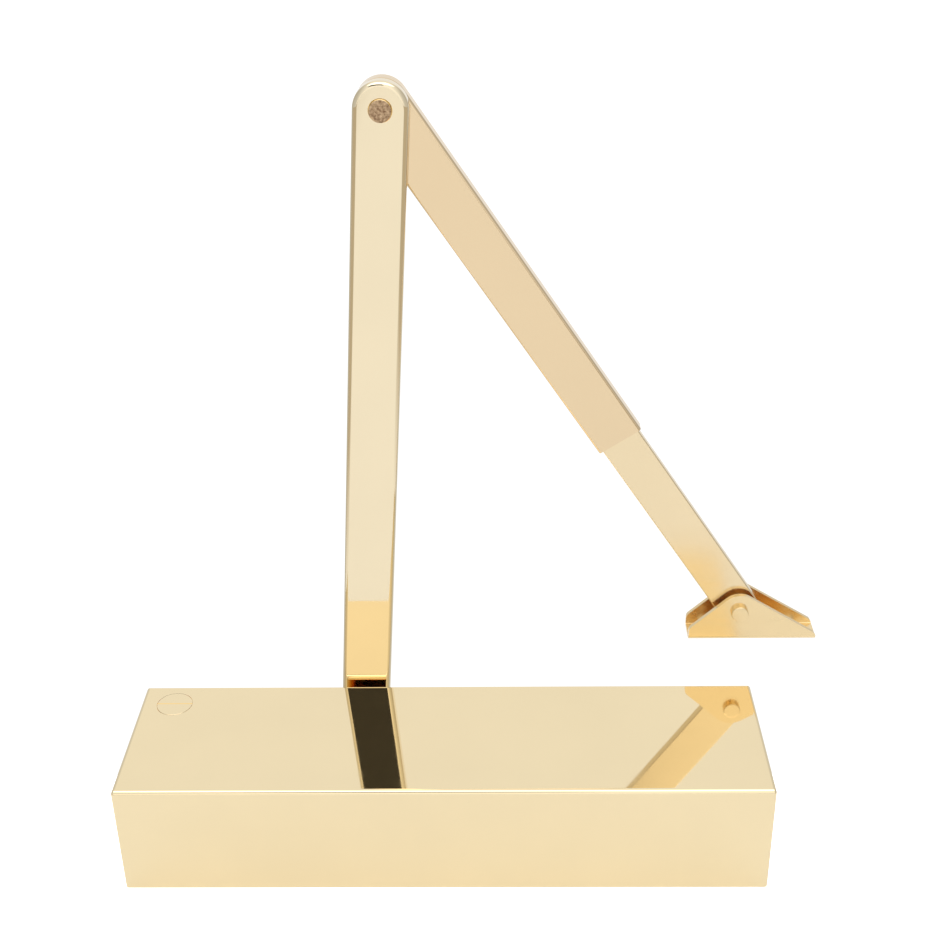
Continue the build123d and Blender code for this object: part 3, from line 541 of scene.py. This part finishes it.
def makeBracket():
    # the folded sheet's middle surface as a grid: along the top edge, and down, across and up
    low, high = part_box("shoe_bracket")
    half, bend = shoe["sheet"] / 2, shoe["bendRadius"]
    front, back, bottom = low.y + half, high.y - half, low.z + half
    edge = earEdge()
    x = shoePlace[0] + edge[:, 0]
    top = np.maximum(shoePlace[2] + edge[:, 1], bottom + bend + 0.05 * mm)
    turn = np.linspace(0, math.pi / 2, 7)
    frontBend = np.column_stack([front + bend * (1 - np.cos(turn)), bottom + bend * (1 - np.sin(turn))])
    backBend = np.column_stack([front + back - frontBend[::-1, 0], frontBend[::-1, 1]])
    section = np.concatenate([frontBend, backBend])
    columns = len(section) + 2
    grid = np.zeros((len(x), columns, 3))
    grid[..., 0] = x[:, None]
    grid[:, 0, 1], grid[:, -1, 1] = front, back
    grid[:, 0, 2] = grid[:, -1, 2] = top
    grid[:, 1:-1, 1], grid[:, 1:-1, 2] = section[:, 0], section[:, 1]
    index = np.arange(len(x) * columns).reshape(len(x), columns)
    quads = np.stack([index[:-1, :-1], index[1:, :-1], index[1:, 1:], index[:-1, 1:]], axis=-1).reshape(-1, 4)
    bracket = meshObject("shoeBracket", grid.reshape(-1, 3), [tuple(quad) for quad in quads.tolist()])
    solidify = bracket.modifiers.new("sheet", "SOLIDIFY")
    solidify.thickness = shoe["sheet"]
    solidify.offset = 0
    solidify.use_even_offset = True
    middle = (low.y + high.y) / 2
    holes = [prism("holeCutter", polygon(48, 2 * shoe["holeRadius"]), low.z - 2 * mm, low.z + 4 * mm,
                   (shoePlace[0] + place, middle, 0), 2) for place in (-shoe["holeLeft"], shoe["holeRight"])]
    bracket = cut(bracket, *holes)
    turnOutwards(bracket)
    bevel = bracket.modifiers.new("edges", "BEVEL")
    bevel.width = shoe["edge"]
    bevel.segments = 3
    bevel.limit_method = "ANGLE"
    bevel.angle_limit = math.radians(50)
    return finished(bracket, "shoe_bracket", "shoe", brass["shoe"])


shoePin = {"shank": 2.5 * mm, "edge": 0.4 * mm, "backHead": 1.2 * mm, "frontHead": 2.0 * mm}


def makeShoePin():
    # two round heads with softened edges on one shank
    low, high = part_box("shoe_pin")
    radius = (high.x - low.x) / 2
    front = edgeProfile(low.y, low.y + shoePin["frontHead"], shoePin["edge"], 0.02 * mm)
    back = edgeProfile(high.y - shoePin["backHead"], high.y, 0.02 * mm, shoePin["edge"])
    front, back = (np.column_stack([radius - part[:, 0], part[:, 1]]) for part in (front, back))
    shank = np.array([[shoePin["shank"], front[-1, 1]], [shoePin["shank"], back[0, 1]]])
    pin = lathe("shoePinHeads", np.concatenate([front, shank, back]), shoePlace, 1)
    return finished(pin, "shoe_pin", "shoe", brass["shoe"])


makeBracket()
makeShoePin()
print("stage: shoe")


# ---- elbow rivet

rivet = {"radius": 3.9 * mm, "edge": 0.25 * mm, "headRadius": 6.0 * mm, "head": 2.5 * mm,
         "headEdge": 0.8 * mm,
         "dimple": 0.16 * mm, "hammer": 0.05 * mm}


def makeRivet():
    # turned sides, and an end face whose height is a shallow dimple plus crossed waves left by the peening
    low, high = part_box("elbow_rivet")
    steps, rows = 96, 22
    turn = np.linspace(0, 2 * math.pi, steps, endpoint=False)
    share = np.linspace(0.02, 1, rows)[:, None]
    reach = share * (rivet["radius"] - rivet["edge"])
    face = np.zeros((rows, steps, 3))
    face[..., 0], face[..., 2] = reach * np.cos(turn), reach * np.sin(turn)
    waves = np.sin(face[..., 0] / mm * 5.1 + 1.3) * np.sin(face[..., 2] / mm * 4.3 + 0.4)
    waves += 0.6 * np.sin(face[..., 0] / mm * 9.7 + face[..., 2] / mm * 7.9)
    fade = 1 - share ** 4
    face[..., 1] = low.y + rivet["dimple"] * (1 - share) ** 2 + rivet["hammer"] * waves * fade
    profile = edgeProfile(low.y, high.y - rivet["head"], rivet["edge"], 0.02 * mm)
    head = edgeProfile(high.y - rivet["head"], high.y, 0.02 * mm, rivet["headEdge"])
    radius = np.concatenate([rivet["radius"] - profile[1:, 0], rivet["headRadius"] - head[:, 0]])[:, None]
    place = np.concatenate([profile[1:, 1], head[:, 1]])[:, None]
    side = np.zeros((len(radius), steps, 3))
    side[..., 0], side[..., 2], side[..., 1] = radius * np.cos(turn), radius * np.sin(turn), place
    rings = np.concatenate([face, side]) + np.array([elbowPlace[0], 0, elbowPlace[2]])
    piece = ringStack("elbowRivetStud", rings, sharpAngle=50)
    piece.data.materials.append(brass["arm"])
    piece.data.materials.append(finishes["bare_rivet_end"])
    ends = [1 if abs(polygonFace.center.y - low.y) < 0.3 * mm and polygonFace.normal.y < -0.6 else 0
            for polygonFace in piece.data.polygons]
    piece.data.polygons.foreach_set("material_index", ends)
    return finished(piece, "elbow_rivet", "main_arm")


makeRivet()

# ---- screws on the arm's back

socketScrews = {
    "arm_screw": {"body": "main_arm", "joint": "arm_swing", "head": 4.0 * mm, "shank": 3.0 * mm,
                  "edge": 0.6 * mm, "socket": 5.0 * mm, "socketDepth": 2.5 * mm, "name": "armSocketScrew",
                  "finish": "arm"},
    "clamp_screw": {"body": "clamp_screw", "joint": "clamp_screw_turn", "head": 3.5 * mm, "shank": 2.5 * mm,
                    "edge": 0.5 * mm, "socket": 4.0 * mm, "socketDepth": 2.2 * mm, "name": "clampSocketScrew",
                    "finish": "sleeve"},
}


def makeSocketScrew(node, sizes):
    # a cylinder head with a rounded rim and a six-sided socket, on a plain shank
    low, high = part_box(node)
    radius = (high.x - low.x) / 2
    centre = axisPlace(sizes["joint"])
    head = edgeProfile(high.y - sizes["head"], high.y, 0.05 * mm, sizes["edge"], 6)
    head = np.column_stack([radius - head[:, 0], head[:, 1]])
    shank = np.array([[sizes["shank"] * 0.8, low.y], [sizes["shank"], low.y + 0.5 * mm],
                      [sizes["shank"], high.y - sizes["head"]]])
    screw = lathe(sizes["name"], np.concatenate([shank, head]), centre, 1)
    bottom = high.y - sizes["socketDepth"]
    socket = prism("socketCutter", polygon(6, sizes["socket"]), bottom, high.y + 1 * mm, centre, 1)
    return finished(cut(screw, socket), node, sizes["body"], brass[sizes["finish"]])


for screwNode, screwSizes in socketScrews.items():
    makeSocketScrew(screwNode, screwSizes)
print("stage: rivet and screws")


# ---- floor, light and camera

stage = {"floorHalf": 3.0, "floorBack": 33.5 * mm, "floorWhite": 0.8, "floorGlow": 0.16, "floorSeen": 1.0,
         "fadeFrom": 0.17, "fadeTo": 0.42, "fade": 0.5, "fadeColour": (0.44, 0.38, 0.29)}


def makeFloor():
    # a pale table that ends just behind the body, so that the arm can swing past it; towards both sides it
    # is painted browner and dimmer, a painted shade that the brass mirrors, and it stays white to the camera
    points = np.array([[-1, -1, 0], [1, -1, 0], [1, 0, 0], [-1, 0, 0]], float) * stage["floorHalf"]
    points[2:, 1] = stage["floorBack"]
    floor = meshObject("paleFloor", points, [(0, 1, 2, 3)])
    material, tree, shader = newMaterial("paleFloor")
    coordinates = tree.nodes.new("ShaderNodeTexCoord")
    split = tree.nodes.new("ShaderNodeSeparateXYZ")
    aside = tree.nodes.new("ShaderNodeMath")
    aside.operation = "ABSOLUTE"
    link(tree, coordinates.outputs["Object"], split.inputs["Vector"])
    link(tree, split.outputs["X"], aside.inputs[0])
    # painted shade: towards both sides the floor colour turns brown and its glow dimmer, for the brass to mirror
    paintedSideShade = spread(tree, aside.outputs[0], 0, 1, stage["fadeFrom"], stage["fadeTo"])
    link(tree, mixColours(tree, paintedSideShade, (stage["floorWhite"],) * 3, stage["fadeColour"]),
         shader.inputs["Base Color"])
    glow = spread(tree, paintedSideShade, stage["floorGlow"], stage["fade"] * stage["floorGlow"], 0, 1)
    shader.inputs["Roughness"].default_value = 0.9
    shader.inputs["Specular IOR Level"].default_value = 0.0
    shader.inputs["Emission Color"].default_value = (1, 1, 1, 1)
    lightPath = tree.nodes.new("ShaderNodeLightPath")
    chooser = tree.nodes.new("ShaderNodeMix")
    chooser.inputs[3].default_value = stage["floorSeen"]
    link(tree, lightPath.outputs["Is Camera Ray"], chooser.inputs[0])
    link(tree, glow, chooser.inputs[2])
    link(tree, chooser.outputs[0], shader.inputs["Emission Strength"])
    dress(floor, material)


light = {"background": 1.1, "back": 0.90, "front": 1.1, "sides": 0.55, "flag": 0.045,
         "flagLow": 37.5, "flagHigh": 49.0, "flagLeft": -38.0, "flagRight": 5.0,
         "lampLow": 52.0, "lampHigh": 80.0, "lampReach": 75.0, "lamp": 1.1}


def makeWorld():
    # a white tent, dimmer behind and at the sides, with a dark flag and a lamp high in front of the body
    world = bpy.data.worlds.new("studioTent")
    world.use_nodes = True
    bpy.context.scene.world = world
    tree = world.node_tree
    background = next(node for node in tree.nodes if node.type == "BACKGROUND")
    coordinates = tree.nodes.new("ShaderNodeTexCoord")
    split = tree.nodes.new("ShaderNodeSeparateXYZ")
    link(tree, coordinates.outputs["Generated"], split.inputs["Vector"])

    def math2(operation, first, second=None):
        node = tree.nodes.new("ShaderNodeMath")
        node.operation = operation
        for socket, value in zip(node.inputs, (first, second)):
            if value is None:
                continue
            if isinstance(value, (int, float)):
                socket.default_value = value
            else:
                link(tree, value, socket)
        return node.outputs[0]

    x, y, z = split.outputs
    towardsBack = spread(tree, y, light["front"], light["back"], -0.2, 0.3)
    sideways = spread(tree, math2("ABSOLUTE", x), 1.0, light["sides"], 0.35, 0.85)
    tent = math2("MULTIPLY", towardsBack, sideways)
    elevation = math2("ARCSINE", z)
    azimuth = math2("ARCTAN2", x, math2("MULTIPLY", y, -1.0))

    def inside(angle, low, high):
        above = spread(tree, angle, 0, 1, math.radians(low - 0.4), math.radians(low + 0.4))
        below = spread(tree, angle, 1, 0, math.radians(high - 2), math.radians(high + 2))
        return math2("MULTIPLY", above, below)

    flag = math2("MULTIPLY", inside(elevation, light["flagLow"], light["flagHigh"]),
                 inside(azimuth, light["flagLeft"], light["flagRight"]))
    dimming = math2("SUBTRACT", 1.0, math2("MULTIPLY", flag, 1 - light["flag"]))
    lamp = math2("MULTIPLY", inside(elevation, light["lampLow"], light["lampHigh"]),
                 inside(azimuth, -light["lampReach"], light["lampReach"]))
    seen = math2("ADD", math2("MULTIPLY", tent, dimming), math2("MULTIPLY", lamp, light["lamp"]))
    lightPath = tree.nodes.new("ShaderNodeLightPath")
    chooser = tree.nodes.new("ShaderNodeMix")
    link(tree, lightPath.outputs["Is Camera Ray"], chooser.inputs[0])
    link(tree, seen, chooser.inputs[2])
    chooser.inputs[3].default_value = light["background"]
    link(tree, chooser.outputs[0], background.inputs["Strength"])
    background.inputs["Color"].default_value = (1, 1, 1, 1)


view = {"place": (0.023049, -0.443635, 0.398429), "pitch": 28.04, "roll": 1.049, "yaw": 1.360, "lens": 54.95}


def makeCamera():
    # the rows are right, down and forward: pitched down from level, yawed about Z, rolled about its own axis
    pitch, roll, yaw = (math.radians(view[name]) for name in ("pitch", "roll", "yaw"))

    def turnZ(angle):
        sine, cosine = math.sin(angle), math.cos(angle)
        return np.array([[cosine, sine, 0], [-sine, cosine, 0], [0, 0, 1]])

    pitchTurn = np.array([[1, 0, 0],
                          [0, -math.sin(pitch), -math.cos(pitch)],
                          [0, math.cos(pitch), -math.sin(pitch)]])
    right, down, forward = turnZ(roll) @ pitchTurn @ turnZ(yaw)
    data = bpy.data.cameras.new("studioCamera")
    data.lens = view["lens"]
    data.clip_start = 0.01
    camera = bpy.data.objects.new("studioCamera", data)
    bpy.context.scene.collection.objects.link(camera)
    matrix = np.eye(4)
    matrix[:3, 0], matrix[:3, 1], matrix[:3, 2], matrix[:3, 3] = right, -down, -forward, view["place"]
    camera.matrix_world = Matrix(matrix.tolist())
    bpy.context.scene.camera = camera


makeFloor()
makeWorld()
makeCamera()
bpy.context.scene.view_settings.view_transform = "Standard"
# light crosses the narrow gap between cover and arm, and the inside of the shoe, in many mirror bounces
bpy.context.scene.cycles.glossy_bounces = 16
bpy.context.scene.cycles.max_bounces = 20
print("stage: floor, light and camera")
